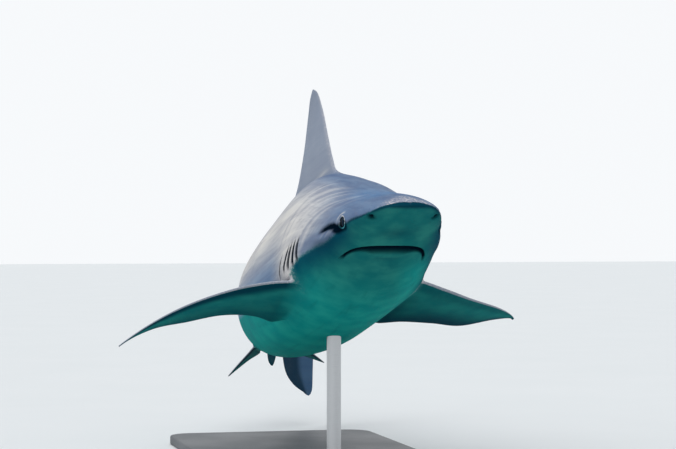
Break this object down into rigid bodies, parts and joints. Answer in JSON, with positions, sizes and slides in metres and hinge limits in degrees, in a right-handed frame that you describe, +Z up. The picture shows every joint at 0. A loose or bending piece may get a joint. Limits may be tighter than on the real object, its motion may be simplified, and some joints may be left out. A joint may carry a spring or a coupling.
{
  "type": "life-size sandbar shark model on a display stand",
  "caption": "Still life-size model of a sandbar shark swimming nose up with its tail swung to one side, held by a rod on a flat base.",
  "frame": {"origin": "middle of the stand base's underside, on the floor", "axes": "+Z up, -Y the way the head points, +X to the animal's own left"},
  "size_m": [0.8173, 1.6692, 0.7098],
  "materials": {
    "skin": "fine-grained shark skin, grey with a bronze cast above and pale grey-green below",
    "eye": "clear glossy eye with a pale iris and an upright dark pupil",
    "stand_paint": "satin powder coat, dark grey",
    "stand_metal": "satin brushed"
  },
  "bodies": {
    "root": {"head": "skin", "lower_jaw": "skin", "trunk_front": "skin", "trunk_rear": "skin", "tail_stem": "skin", "tail_fin_upper_lobe": "skin", "tail_fin_lower_lobe": "skin", "dorsal_fin_first": "skin", "dorsal_fin_second": "skin", "anal_fin": "skin", "pectoral_fin_left": "skin", "pectoral_fin_right": "skin", "pelvic_fin_left": "skin", "pelvic_fin_right": "skin", "eye_left": "eye", "eye_right": "eye", "stand_base": "stand_paint", "stand_rod": "stand_metal"}
  },
  "joints": []
}
